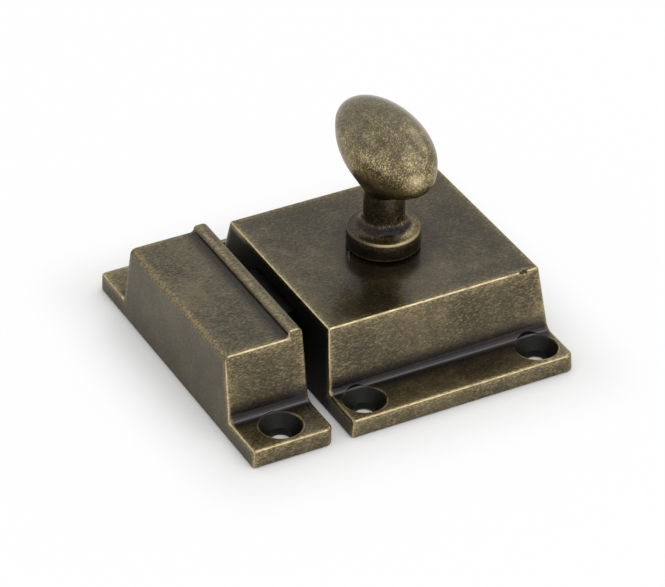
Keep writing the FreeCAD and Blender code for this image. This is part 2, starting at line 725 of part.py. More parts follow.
def make_cover_plate():
    """Sheet that closes the case from behind, sunk into a rebate."""
    half = "(worked.rebate_half - sizes.cover_clearance)"
    end = "(worked.rebate_end - sizes.cover_clearance)"
    sheet = block("cover_sheet", (f"-{half}", f"-{end}", "sizes.cover_recess"), (half, end, "worked.cover_top"))
    holes = [sunk_screw(f"cover_hole_{place_name}", x, y,
                        "sizes.cover_screw_radius + sizes.thread_clearance",
                        "sizes.cover_head_radius + sizes.thread_clearance", f"worked.cover_top + {OVERSHOOT}")
             for place_name, x, y in case_posts()]
    return cut("cover_plate", sheet, holes)


def make_cover_screws():
    """Four countersunk screws that hold the cover plate to the posts."""
    screws = []
    for place_name, x, y in case_posts():
        name = f"cover_screw_{place_name}"
        body = sunk_screw(name, x, y, "sizes.cover_screw_radius", "sizes.cover_head_radius",
                          "sizes.cover_recess + sizes.cover_screw_length")
        slot = driver_slot(f"{name}_slot", "sizes.cover_head_radius * 2", "sizes.cover_recess", x, y)
        screws.append(cut(name, body, [slot]))
    group = doc.addObject("Part::Compound", "cover_screws")
    group.Links = screws
    return group


def write_parts(parts):
    """Check every object and write each piece to its own file."""
    doc.recompute()
    failed = [item.Name for item in doc.Objects if "Invalid" in item.State or "Error" in item.State]
    if failed:
        raise RuntimeError(f"objects that failed: {failed}")
    for part in parts:
        part.Label = part.Name
        if part.Shape.isNull() or not part.Shape.isValid():
            raise RuntimeError(f"{part.Label} has no valid shape")
    os.makedirs("parts", exist_ok=True)
    for part in parts:
        part.Shape.exportStep(f"parts/{part.Label}.step")


fill_sheets()
write_parts([make_case(), make_keeper(), make_knob(), make_thrust_washer(), make_crank(), make_crank_pin(),
             make_lock_washer(), make_crank_screw(), make_bolt(), make_bolt_spring(), make_cover_plate(),
             make_cover_screws()])
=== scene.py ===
import json
import math
from types import SimpleNamespace

import bmesh
import bpy
from bpy.props import FloatProperty, FloatVectorProperty, IntProperty, PointerProperty
from mathutils import Matrix, Vector


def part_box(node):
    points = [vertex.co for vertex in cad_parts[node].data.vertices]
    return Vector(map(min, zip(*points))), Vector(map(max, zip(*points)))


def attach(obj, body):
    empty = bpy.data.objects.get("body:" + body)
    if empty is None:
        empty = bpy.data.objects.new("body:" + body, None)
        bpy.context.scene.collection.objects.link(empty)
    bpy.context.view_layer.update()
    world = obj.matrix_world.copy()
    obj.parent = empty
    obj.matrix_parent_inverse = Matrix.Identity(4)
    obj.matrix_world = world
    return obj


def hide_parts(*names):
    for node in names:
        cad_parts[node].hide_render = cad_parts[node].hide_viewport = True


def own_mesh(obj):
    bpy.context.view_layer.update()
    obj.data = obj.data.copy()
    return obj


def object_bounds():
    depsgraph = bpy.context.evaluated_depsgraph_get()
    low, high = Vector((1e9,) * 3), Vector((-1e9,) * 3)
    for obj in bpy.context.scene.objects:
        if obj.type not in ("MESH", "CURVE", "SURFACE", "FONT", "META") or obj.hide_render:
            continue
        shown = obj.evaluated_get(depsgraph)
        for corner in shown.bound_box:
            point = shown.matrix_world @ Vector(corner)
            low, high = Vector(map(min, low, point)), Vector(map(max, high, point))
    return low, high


bl_info = {
    "name": "Cupboard Catch Latch",
    "version": (1, 0, 0),
    "blender": (4, 5, 0),
    "location": "3D View > Sidebar > Latch",
    "description": "Finishes a cast cupboard latch in aged brass and sets it on a studio floor",
    "category": "Object",
}

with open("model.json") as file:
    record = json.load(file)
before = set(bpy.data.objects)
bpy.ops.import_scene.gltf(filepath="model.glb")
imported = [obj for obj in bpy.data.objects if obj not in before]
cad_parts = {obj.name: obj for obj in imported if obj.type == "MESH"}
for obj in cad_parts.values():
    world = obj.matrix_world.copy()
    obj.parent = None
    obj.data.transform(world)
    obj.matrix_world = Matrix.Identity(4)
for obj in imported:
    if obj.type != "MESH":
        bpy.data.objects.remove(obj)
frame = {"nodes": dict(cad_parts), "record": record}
CAD_LOW, CAD_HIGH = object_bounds()
CASE_LOW, CASE_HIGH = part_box("latch_case")
KEEPER_LOW, KEEPER_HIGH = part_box("keeper")
SPRING_LOW, SPRING_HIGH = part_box("bolt_spring")
MM = 0.001
PICTURE_WIDTH = 665
STEPS_PER_TURN = 40
WIRE_SIDES = 14
FLOOR_SIDES = 96
WHITE = (1, 1, 1)
# Share of the normal along an axis from which a face counts as a top, an end wall or a side.
TOP_FACE = (0.6, 0.95)
END_FACE = (0.5, 0.9)
SIDE_FACE = (0.6, 0.95)
# Size of a speck of dust, as shares of the distance between specks.
SPECK = (0.035, 0.02)
# Turns of the four sets of fine marks on the egg.
SCRATCH_TURNS = ((0.3, 0.5, 0.2), (1.1, -0.4, 0.9), (-0.6, 0.8, 2.0), (0.5, 1.5, 2.7))
# Each inner metal's turn of its brush lines about Z, and its roughness.
BRUSHED = {
    "machined_brass": (0, 0.34),
    "crank_zinc": (1.2, 0.42),
    "washer_steel": (0.4, 0.4),
    "cover_zinc": (math.pi / 2, 0.45),
    "screw_zinc": (0.5, 0.38),
    "spring_wire": (0, 0.35),
}


def length(name, description, default):
    return FloatProperty(name=name, description=description, default=default, unit="LENGTH", precision=5)


def fade(name, description, start, full):
    """Distances in millimetres where a mark begins and where it is full."""
    return FloatVectorProperty(name=name, description=description, default=(start * MM, full * MM),
                               size=2, unit="LENGTH", precision=5)


def point(name, description, default):
    return FloatVectorProperty(name=name, description=description, default=default, size=3,
                               subtype="TRANSLATION", unit="LENGTH")


def angle(name, description, degrees):
    return FloatProperty(name=name, description=description, default=math.radians(degrees),
                         subtype="ANGLE")


def share(name, description, default):
    return FloatProperty(name=name, description=description, default=default, min=0, max=1,
                         subtype="FACTOR")


def level(name, description, default):
    return FloatProperty(name=name, description=description, default=default, min=0)


def colour(name, description, default):
    return FloatVectorProperty(name=name, description=description, default=default, min=0, max=1,
                               size=3, subtype="COLOR")


class LatchForm(bpy.types.PropertyGroup):
    """Places on the castings and the knob that wear, patina, painted light and painted shade follow."""

    flange_thickness: length("Flange thickness", "Thickness of the screwed flanges", 2.95 * MM)
    hole_end_distance: length("Hole to end", "From a screw hole's middle to the plate's end", 4.1 * MM)
    hole_side_distance: length("Hole to side", "From a case screw hole's middle to its side", 4.22 * MM)
    sink_radius: length("Countersink radius", "Radius of the countersinks at the top", 3.25 * MM)
    case_block: length("Case block", "Length of the raised case at the flange's top", 35.4 * MM)
    case_end_lean: angle("Case end lean", "Lean of the case's end walls", 12.4)
    case_side_lean: angle("Case side lean", "Lean of the case's sides", 5.05)
    keeper_block: length("Keeper block", "Length of the raised keeper at the flange's top", 34.5 * MM)
    keeper_end_lean: angle("Keeper end lean", "Lean of the keeper's end walls", 10.8)
    keeper_side_lean: angle("Keeper side lean", "Lean of the keeper's outer side", 1.9)
    bead_width: length("Bead width", "Width of the keeper's bead", 2.35 * MM)
    bead_height: length("Bead height", "Height of the bead over the keeper's top", 1.15 * MM)
    collar_radius: length("Collar radius", "Radius of the knob's collar", 5.52 * MM)
    collar_bottom: length("Collar bottom", "Height of the collar's lower face", 13.3 * MM)
    collar_top: length("Collar top", "Height of the collar's rim", 16.05 * MM)
    flare_top: length("Flare top", "Height where the collar's top face meets the neck", 16.5 * MM)
    neck_top: length("Neck top", "Height where the neck meets the egg", 22.35 * MM)
    neck_radius: length("Neck radius", "Radius of the knob's neck", 3.08 * MM)
    equator: length("Equator", "Height of the egg's widest section", 30.3 * MM)
    egg_tip: length("Egg tip", "From the knob's axis to the end of the egg", 11.15 * MM)
    nick_x: length("Nick", "Place of the nick along the case's front top edge", 14.7 * MM)
    scratch_x: length("Scratch X", "Place of the pale scratch on the case's top", -5.9 * MM)
    scratch_y: length("Scratch Y", "Place of the pale scratch on the case's top", -0.4 * MM)
    scratch_half: length("Scratch half length", "Half the length of the pale scratch", 1.2 * MM)
    scratch_turn: angle("Scratch turn", "Turn of the pale scratch from the case's X", 63)


class CastingWear(bpy.types.PropertyGroup):
    """Wear and patina of the castings, with painted light and shade, each mark by its distance from the
    place that it follows.
    """

    edge_line: fade("Edge line", "Bright line on a worn edge", 0.25, 0.1375)
    edge_strip: fade("Edge strip", "Rubbed strip beside a worn edge", 1.2, 0.24)
    edge_halo: fade("Edge halo", "Faint golden haze beside a worn edge", 3.0, 0.0)
    ragged: length("Raggedness", "How far patches and grain break the marks' borders", 0.3 * MM)
    ragged_cloud: length("Cloud raggedness", "How far clouds break the marks' borders", 0.1 * MM)
    sink_top: fade("Countersink top", "Black of a countersink, in depth under the flange's top", 0.02, 0.25)
    sink_back: fade("Countersink back", "End of that black, from the flange's back", -0.05, -0.3)
    sink_side: fade("Countersink side", "That black, from the countersink's radius", 0.05, -0.1)
    sink_rim: fade("Countersink rim", "Bright line, from the countersink's radius", 0.24, 0.04)
    sink_rim_depth: fade("Rim depth", "That line, from the flange's top", 0.5, 0.2)
    foot: fade("Foot", "Black in the corner at the foot of a wall", 3.2, 0.6)
    foot_side: fade("Foot side", "That black, in depth under the casting's sides", 0.0, 0.8)
    # Crease place and line: a painted highlight along the crease at the foot of the walls.
    crease_place: length("Crease place", "From the foot of a wall to its crease", 0.25 * MM)
    crease_highlight: fade("Crease line", "Pale line, from the crease", 0.3, 0.05)
    rub_end: fade("Rub end", "Golden rubbing of a flange, from the plate's end", 3.6, 0.0)
    rub_depth: fade("Rub depth", "That rubbing, from the flange's top", 0.7, 0.3)
    # A ring of painted shade and dark reflection of the knob on the case's top, round the collar.
    knob_shade: fade("Tarnish", "Dark ring on the case, from the collar's radius", 5.0, 0.0)
    knob_shade_depth: fade("Tarnish depth", "That ring, in depth under the case's top", 0.6, 0.2)
    keeper_half: fade("Keeper half", "Half of the case beside the keeper, from its middle", 0.0, -1.0)
    back_half: fade("Back half", "Back half of the case, from its middle", -1.0, 0.0)
    # Gap side, edge and end: black of the case's side in the gap, dark patina with painted shade.
    gap_side: fade("Gap side", "Black of the gap, in depth under the case's side", 0.8, 0.0)
    gap_edge: fade("Gap edge", "That black, from the case's worn edges", 0.2, 1.4)
    gap_end: fade("Gap end", "That black, in depth under the case's end walls", -1.0, 1.0)
    nick: fade("Nick", "Black of the nick, from its middle", 0.5, 0.25)
    scratch: fade("Scratch", "Pale scratch on the case, from its line", 0.13, 0.04)
    bead_side: fade("Bead side", "The bead, from the line of its root", -0.2, 0.3)
    bead_depth: fade("Bead depth", "The bead, in depth under its top", 1.0, 0.4)
    bead_plain: length("Plain bead", "Distance that keeps the edges' wear off the bead's top", 0.8 * MM)
    bead_end: fade("Bead end", "That plain top, in depth under the end walls", 0.2, 0.7)
    bead_root: fade("Bead root", "Black along the bead's root", 2.4, 0.3)
    bead_root_end: fade("Root end", "That black, in depth under the end walls", 0.0, 0.8)
    # Black of the keeper's inner side in the gap: dark patina with painted shade.
    bead_gap: fade("Bead gap", "Black of the gap, in depth under the keeper's inner side", 0.3, 0.05)
    bead_gap_edge: fade("Bead gap edge", "That black, from the keeper's worn edges", 0.3, 1.4)
    # A painted highlight along the bead's top, and painted shade beyond it.
    bead_highlight_start: fade("Streak start", "Rubbed streak on the bead, from its root", 0.1, 0.5)
    bead_highlight_end: fade("Streak end", "End of that streak, from the bead's root", 1.3, 0.8)
    bead_shade: fade("Bead shade", "Shade beyond that streak, from the bead's root", 1.2, 2.0)


class KnobWear(bpy.types.PropertyGroup):
    """Wear and patina of the knob, with painted highlights and shade, each mark by its distance from the
    place that it follows.
    """

    uneven: length("Unevenness", "How far patches shift the marks' borders", 3 * MM)
    handled: fade("Handled", "Rubbed part of the egg, from the neck's top", 2.4, 6.0)
    crown: fade("Crown", "Upper part of the egg, from its equator", -1.0, 4.0)
    # The egg's tip is rubbed brass; the bare brass in its middle is a painted glint.
    tip_aside: length("Tip aside", "Distance of the rubbed tip from the egg's middle line", 1.1 * MM)
    tip: fade("Tip", "Rubbed tip of the egg, from its middle", 2.2, 0.4)
    painted_glint: fade("Gleam", "Bare brass on the tip, from its middle", 1.4, 0.2)
    # The rim's line is worn brass, brightened towards the front as a painted highlight; the line at the
    # collar's foot is a painted highlight.
    rim: fade("Rim", "Bright line on the collar's rim", 0.6, 0.1)
    foot: fade("Foot", "Golden line on the collar's lower edge", 0.3, 0.1)
    flare: fade("Flare", "Black in the hollow between collar and neck", 1.3, 0.6)
    # Black on the collar's side: dark patina, with painted shade deeper away from the front.
    flank: fade("Flank", "Black on the collar's side, from its rim", -0.2, -1.5)
    # The collar's top face is golden on its lit side and shaded on the other: painted light and painted
    # shade.
    ledge: fade("Ledge", "Golden top face of the collar, from the flare's top", 0.6, 0.0)
    root_height: length("Root height", "From the flare's top to the golden ring on the neck", 1.7 * MM)
    root: fade("Root", "That ring, from its middle", 1.8, 0.4)
    lip: fade("Lip", "Golden lip under the egg, from the neck's top", -0.5, 1.5)
    # The golden hem under the egg is rubbed brass lightened as a painted reflection.
    hem_drop: length("Hem drop", "From the equator down to the golden hem of the egg", 2.5 * MM)
    hem: fade("Hem", "That hem, from its middle", 1.3, 0.3)
    shade_drop: length("Shade drop", "From the equator down to the egg's darker line", 0.9 * MM)
    shade: fade("Shade", "That line, from its middle", 1.1, 0.2)
    band_drop: length("Band drop", "From the equator down to the egg's most rubbed band", 0.5 * MM)
    band: fade("Band", "That band, from its middle", 3.5, 0.5)


class BrassFinish(bpy.types.PropertyGroup):
    """Aged brass of the castings and the knob."""

    dark_patina: colour("Dark patina", "Deepest brown of the patina", (0.036, 0.026, 0.011))
    light_patina: colour("Light patina", "Lighter brown of the patina", (0.13, 0.102, 0.052))
    olive_patina: colour("Olive patina", "Lighter patina on the tops and sides", (0.124, 0.11, 0.06))
    # Also used for painted highlights on the bead and on the collar's rim, foot and top, and for the
    # painted reflection under the egg.
    worn_brass: colour("Worn brass", "Brass where the patina has rubbed off", (0.62, 0.485, 0.25))
    # Also the painted glint on the egg's tip and the painted highlight on the collar's rim.
    bare_brass: colour("Bare brass", "Brass polished bare on the sharpest edges", (0.86, 0.71, 0.43))
    # Also painted shade round the knob's foot on the case, on the bead's far side and on the collar's top
    # away from the light.
    soot: colour("Soot", "Blackened brass in the corners", (0.017, 0.015, 0.02))
    # Colour of the painted highlight along the crease at the walls' foot.
    crease: colour("Crease", "Pale line along the crease at the foot of the walls", (0.4, 0.42, 0.46))
    # Also painted shade: with dark patina in the gap and on the collar's side, and alone on the bolt's
    # nose.
    black: colour("Black", "Brass left black in the countersinks and the gap", (0.013, 0.0145, 0.0135))
    edge_tint: colour("Edge tint", "Reflection at a flat angle", (0.55, 0.5, 0.42))
    dust: colour("Dust", "Pale specks that lie on the castings", (0.5, 0.5, 0.46))
    dust_spacing: length("Dust spacing", "Distance between specks of dust", 4 * MM)
    keeper_lift: share("Keeper lift", "How much lighter the keeper's top is than the case's", 0.34)
    cloud_size: length("Cloud size", "Size of the broad clouds in the patina", 9 * MM)
    patch_size: length("Patch size", "Size of the rubbed patches", 2.2 * MM)
    grain_size: length("Grain size", "Size of the grain", 0.29 * MM)
    fine_size: length("Fine grain size", "Size of the finest grain", 0.17 * MM)
    grain_stretch: level("Grain stretch", "Length of the castings' grain over its width", 2.3)
    grain_depth: length("Grain depth", "Depth of the fine grain", 0.008 * MM)
    wave_size: length("Wave size", "Size of the hand-finished waves", 5 * MM)
    wave_depth: length("Wave depth", "Depth of the hand-finished waves", 0.02 * MM)
    scratch_size: length("Scratch size", "Spacing of the fine marks on the egg", 0.18 * MM)
    scratch_stretch: level("Scratch stretch", "Length of those marks over their width", 4.0)
    scratch_depth: length("Scratch depth", "Depth of the fine marks on the egg", 0.014 * MM)
    roughness: share("Roughness", "Roughness of the patina", 0.34)
    lacquer: share("Lacquer", "Weight of the clear lacquer", 0.6)
    casting_gloss: share("Casting gloss", "Roughness of the lacquer on the castings", 0.2)
    knob_gloss: share("Knob gloss", "Roughness of the lacquer on the knob", 0.14)


class InnerFinish(bpy.types.PropertyGroup):
    """Metals of the working parts inside."""

    brass: colour("Brass", "Machined brass of the bolt and its washer", (0.5, 0.38, 0.19))
    zinc: colour("Zinc", "Dull zinc plating", (0.46, 0.46, 0.44))
    screw_shade: share("Screw shade", "Brightness of the cover screws beside the cover plate", 0.7)
    spring_steel: colour("Spring steel", "Oiled spring wire", (0.2, 0.2, 0.21))
    brush_width: length("Brush width", "Width of the brush lines", 0.12 * MM)
    brush_stretch: level("Brush stretch", "Length of the brush lines over their width", 30)
    brush_depth: length("Brush depth", "Depth of the brush lines", 0.003 * MM)
    stain_size: length("Stain size", "Size of the stains", 2.4 * MM)
    stain_shade: share("Stain shade", "Brightness of stained metal beside clean metal", 0.6)
    # The bolt's black nose is painted shade where it reaches out of the case into the gap.
    nose_shade_depth: length("Dip depth", "How far the bolt's blackened nose reaches into the case", 2 * MM)
    nose_shade_fade: length("Dip fade", "Width of the blackened nose's soft border", 1 * MM)
    nose_shade_ragged: length("Dip raggedness", "How far stains shift that border", 2 * MM)
    wire: length("Wire", "Thickness of the spring's wire", 0.45 * MM)
    coils: IntProperty(name="Coils", description="Turns of the spring", default=5, min=2)


class StageSettings(bpy.types.PropertyGroup):
    """Floor, lights and camera."""

    floor_radius: length("Floor radius", "Radius of the floor", 4.0)
    floor_drop: length("Floor drop", "Floor's distance under the latch, against flicker", 0.02 * MM)
    floor_colour: colour("Floor colour", "Colour of the floor", (0.95, 0.95, 0.95))
    floor_glow: share("Floor glow", "Share of plain white that the open floor shows", 0.92)
    # Shadow reach and contact: painted shade, where the floor's glow fades towards the latch over its real
    # shadow.
    shadow_reach: length("Shadow reach", "Reach of the floor's shade round the latch", 13 * MM)
    contact_reach: length("Contact reach", "Reach of the deepest shade at the latch's foot", 1 * MM)
    contact_share: share("Contact share", "Share of the floor's shade that lies so near", 0.12)
    dome: level("Dome", "Level of the even light from all round", 0.78)
    softbox_level: level("Softbox level", "Brightness of the softboxes", 0.7)
    above_place: point("Softbox above", "Place of the softbox above", (0.1, -0.45, 0.9))
    above_aim: point("Aim above", "Point that the softbox above faces", (0, 0, 0))
    above_width: length("Width above", "Width of the softbox above", 1.1)
    right_place: point("Softbox right", "Place of the softbox on the right", (0.75, 0.3, 0.6))
    right_aim: point("Aim right", "Point that the softbox on the right faces", (0, 0, 0.02))
    right_width: length("Width right", "Width of the softbox on the right", 0.5)
    camera_azimuth: angle("Azimuth", "Camera's turn about the latch", -28.773)
    camera_elevation: angle("Elevation", "Camera's height over the floor", 34.617)
    camera_roll: angle("Roll", "Camera's tilt about its own axis", 1.105)
    camera_distance: length("Distance", "From the camera to the point that it looks at", 0.55246)
    camera_aim_x: length("Aim X", "Point on the floor that the camera looks at", -3.76 * MM)
    camera_aim_y: length("Aim Y", "Point on the floor that the camera looks at", 8.24 * MM)
    camera_near: length("Near limit", "Nearest distance that the camera shows", 0.01)
    focal_pixels: level("Focal length", "Focal length in pixels of the picture", 3695)


def named(sockets):
    return {socket.identifier: socket for socket in sockets}


class Value:
    """A value in a material's nodes. Arithmetic on it adds Math nodes."""

    def __init__(self, graph, socket):
        self.graph = graph
        self.socket = socket

    def output(self, name):
        """Another output of the same node."""
        return Value(self.graph, named(self.socket.node.outputs)[name])

    def math(self, operation, other=None, swapped=False):
        pair = (other, self) if swapped else (self, other)
        sockets = {name: item for name, item in zip(("Value", "Value_001"), pair) if item is not None}
        return self.graph.node("ShaderNodeMath", {"operation": operation}, sockets)

    def __add__(self, other):
        return self.math("ADD", other)

    __radd__ = __add__

    def __sub__(self, other):
        return self.math("SUBTRACT", other)

    def __rsub__(self, other):
        return self.math("SUBTRACT", other, swapped=True)

    def __mul__(self, other):
        return self.math("MULTIPLY", other)

    __rmul__ = __mul__

    def __pow__(self, other):
        return self.math("POWER", other)

    def __abs__(self):
        return self.math("ABSOLUTE")

    def low(self, other):
        return self.math("MINIMUM", other)

    def high(self, other):
        return self.math("MAXIMUM", other)

    def step(self, start, end):
        """0 at start, 1 at end and a smooth curve between them."""
        return self.graph.node("ShaderNodeMapRange", {"interpolation_type": "SMOOTHSTEP"},
                               {"Value": self, "From Min": start, "From Max": end})


class Graph:
    """The nodes of one material or of the dome."""

    def __init__(self, owner):
        owner.use_nodes = True
        self.tree = owner.node_tree
        self.tree.nodes.clear()

    def node(self, kind, settings, sockets, output=None):
        """Add a node, set it up, then fill or link its sockets."""
        made = self.tree.nodes.new(kind)
        for name, setting in settings.items():
            setattr(made, name, setting)
        inputs = named(made.inputs)
        for name, item in sockets.items():
            if isinstance(item, Value):
                self.tree.links.new(item.socket, inputs[name])
            else:
                inputs[name].default_value = item
        return Value(self, named(made.outputs)[output] if output else made.outputs[0])

    def place(self):
        """The point on the piece, in its own frame."""
        return self.node("ShaderNodeTexCoord", {}, {}, "Object")

    def axes(self, place):
        x = self.node("ShaderNodeSeparateXYZ", {}, {"Vector": place})
        return x, x.output("Y"), x.output("Z")

    def noise(self, place, size, seed, detail=2.0, roughness=0.5):
        return self.node("ShaderNodeTexNoise", {"noise_dimensions": "4D"},
                         {"Vector": place, "W": seed, "Scale": 1 / size, "Detail": detail,
                          "Roughness": roughness})

    def stretched(self, place, turn, stretch):
        """Coordinates turned by Euler angles, then squeezed along X, for streaks along X."""
        return self.node("ShaderNodeMapping", {"vector_type": "TEXTURE"},
                         {"Vector": place, "Rotation": turn, "Scale": (stretch, 1, 1)})

    def blend(self, factor, first, second):
        """Mix two colours."""
        return self.node("ShaderNodeMix", {"data_type": "RGBA"},
                         {"Factor_Float": factor, "A_Color": first, "B_Color": second}, "Result_Color")

    def bump(self, height, distance, normal=None):
        sockets = {"Height": height, "Distance": distance}
        if normal is not None:
            sockets["Normal"] = normal
        return self.node("ShaderNodeBump", {}, sockets)

    def finish(self, shader, kind="ShaderNodeOutputMaterial"):
        output = self.tree.nodes.new(kind)
        self.tree.links.new(shader.socket, output.inputs["Surface"])


def opaque(rgb):
    """A colour property as the four numbers of a socket."""
    return (*rgb, 1.0)


def new_graph(name):
    material = bpy.data.materials.new(name)
    return material, Graph(material)


def coat_piece(piece, material):
    """Give a piece one material all over."""
    piece.data.materials.clear()
    piece.data.materials.append(material)


def shifted(place, distances):
    """A fade that is measured from a place."""
    return [place + distance for distance in distances]


def hypot(one, other):
    return (one * one + other * other) ** 0.5


def hat_edges(top, end, side, flange_top, plate_end):
    """Distance from the nearest worn edge of a block on a flange, from the depths under its faces."""
    inside = top.low(end).high(flange_top.low(plate_end))
    corner = top.high(end).low(flange_top.high(plate_end))
    return inside.high(side.low(corner))


def lean_depth(offset, half, lean, rise):
    """Depth under a face that leans inwards: half its distance at the foot, rise the height above it."""
    return (half - rise * math.tan(lean) - offset) * math.cos(lean)


def hole_marks(form, wear, offset_x, offset_y, flange_top):
    """Black of a countersink and the bright line on its rim."""
    radius = hypot(offset_x, offset_y)
    below = flange_top.step(*wear.sink_top)
    below = below * flange_top.step(*shifted(form.flange_thickness, wear.sink_back))
    black = radius.step(*shifted(form.sink_radius, wear.sink_side)) * below
    rim = abs(radius - form.sink_radius).step(*wear.sink_rim)
    return black, rim * abs(flange_top).step(*wear.sink_rim_depth)


def foot_marks(wear, outward, flange_top, side):
    """Black of the corner at a wall's foot and the painted highlight along its crease."""
    black = hypot(outward, flange_top).step(*wear.foot) * side.step(*wear.foot_side)
    crease = abs(outward + flange_top - wear.crease_place).step(*wear.crease_highlight)
    return black, crease * black.step(0.5, 0.9)


def flange_rub(wear, plate_end, flange_top):
    """Golden rubbing of a flange's top that fades away from its end."""
    return plate_end.step(*wear.rub_end) * abs(flange_top).step(*wear.rub_depth)


def case_marks(form, wear, x, y, z):
    """Where the case is worn and black, with painted shade and a painted highlight: edge, nick and scratch
    as distances, the rest as shares.
    """
    along = abs(y)
    across = abs(x)
    half_width = CASE_HIGH.x
    plate_half = CASE_HIGH.y
    plate_end = plate_half - along
    top = CASE_HIGH.z - z
    flange_top = form.flange_thickness - z
    end = lean_depth(along, form.case_block / 2, form.case_end_lean, z - form.flange_thickness)
    side = lean_depth(across, half_width, form.case_side_lean, z)
    edge = hat_edges(top, end, side, flange_top, plate_end)
    foot, crease = foot_marks(wear, along - form.case_block / 2, flange_top, side)
    # Painted shade and dark reflection of the knob in a ring round its collar, added to the black of the
    # corners.
    knob_shade = hypot(x, y).step(*shifted(form.collar_radius, wear.knob_shade))
    foot = foot.high(0.6 * knob_shade * top.step(*wear.knob_shade_depth))
    black, rim = hole_marks(form, wear, across - (half_width - form.hole_side_distance),
                            along - (plate_half - form.hole_end_distance), flange_top)
    # Black of the case's side in the gap: dark patina with painted shade.
    gap = x.step(*wear.keeper_half) * side.step(*wear.gap_side) * edge.step(*wear.gap_edge)
    gap = gap * (0.5 + 0.5 * end.step(*wear.gap_end))
    nick = hypot(0.6 * (x - form.nick_x), hypot(end, top)) + y.step(*wear.back_half)
    turn_x, turn_y = math.cos(form.scratch_turn), math.sin(form.scratch_turn)
    scratch_x = x - form.scratch_x
    scratch_y = y - form.scratch_y
    lengthwise = abs(turn_x * scratch_x + turn_y * scratch_y) - form.scratch_half
    crosswise = turn_y * scratch_x - turn_x * scratch_y
    scratch = hypot(crosswise, lengthwise.high(0.0))
    return SimpleNamespace(edge=edge, corner=foot, crease=crease, black=black.high(gap), rim=rim,
                           rubbed=flange_rub(wear, plate_end, flange_top), nick=nick, scratch=scratch)


def keeper_marks(form, wear, x, y, z):
    """Where the keeper is worn and black, with painted shade and painted highlights: edge as a distance,
    the rest as shares.
    """
    along = abs(y)
    plate_half = KEEPER_HIGH.y
    plate_end = plate_half - along
    bead_top = KEEPER_HIGH.z - z
    plain_top = bead_top - form.bead_height
    past_root = x - (KEEPER_HIGH.x - form.bead_width)
    top = plain_top.high(bead_top.low(past_root))
    flange_top = form.flange_thickness - z
    end = lean_depth(along, form.keeper_block / 2, form.keeper_end_lean, z - form.flange_thickness)
    outer = lean_depth(-1 * x, -KEEPER_LOW.x, form.keeper_side_lean, z)
    inner = KEEPER_HIGH.x - x
    side = outer.low(inner)
    edge = hat_edges(top, end, side, flange_top, plate_end)
    bead = past_root.step(*wear.bead_side) * bead_top.step(*wear.bead_depth)
    plain = wear.bead_plain * bead * end.step(*wear.bead_end)
    edge = edge.low(hypot(past_root, bead_top)).high(plain)
    foot, crease = foot_marks(wear, along - form.keeper_block / 2, flange_top, side)
    root = hypot(past_root, plain_top).step(*wear.bead_root)
    root = 0.85 * root * end.step(*wear.bead_root_end) * (1 - bead)
    root = root.high(0.25 * bead * past_root.step(*wear.bead_shade))
    middle = (KEEPER_LOW.x + KEEPER_HIGH.x) / 2
    black, rim = hole_marks(form, wear, x - middle, along - (plate_half - form.hole_end_distance),
                            flange_top)
    # Black of the inner side in the gap: dark patina with painted shade.
    gap = inner.step(*wear.bead_gap) * edge.step(*wear.bead_gap_edge)
    # Painted highlight along the bead's top, carried with the rubbing of the flanges.
    streak = bead * past_root.step(*wear.bead_highlight_start) * past_root.step(*wear.bead_highlight_end)
    rubbed = flange_rub(wear, plate_end, flange_top).high(streak)
    return SimpleNamespace(edge=edge, corner=foot.high(root), crease=crease, black=black.high(gap),
                           rim=rim, rubbed=rubbed, nick=None, scratch=None)


def brass_noises(graph, finish, place, drawn):
    """Rubbed patches, grain and finest grain of aged brass."""
    return (graph.noise(place, finish.patch_size, 2.0, detail=5.0, roughness=0.6),
            graph.noise(drawn, finish.grain_size, 3.0, detail=3.0, roughness=0.7),
            graph.noise(drawn, finish.fine_size, 4.0, detail=1.0))


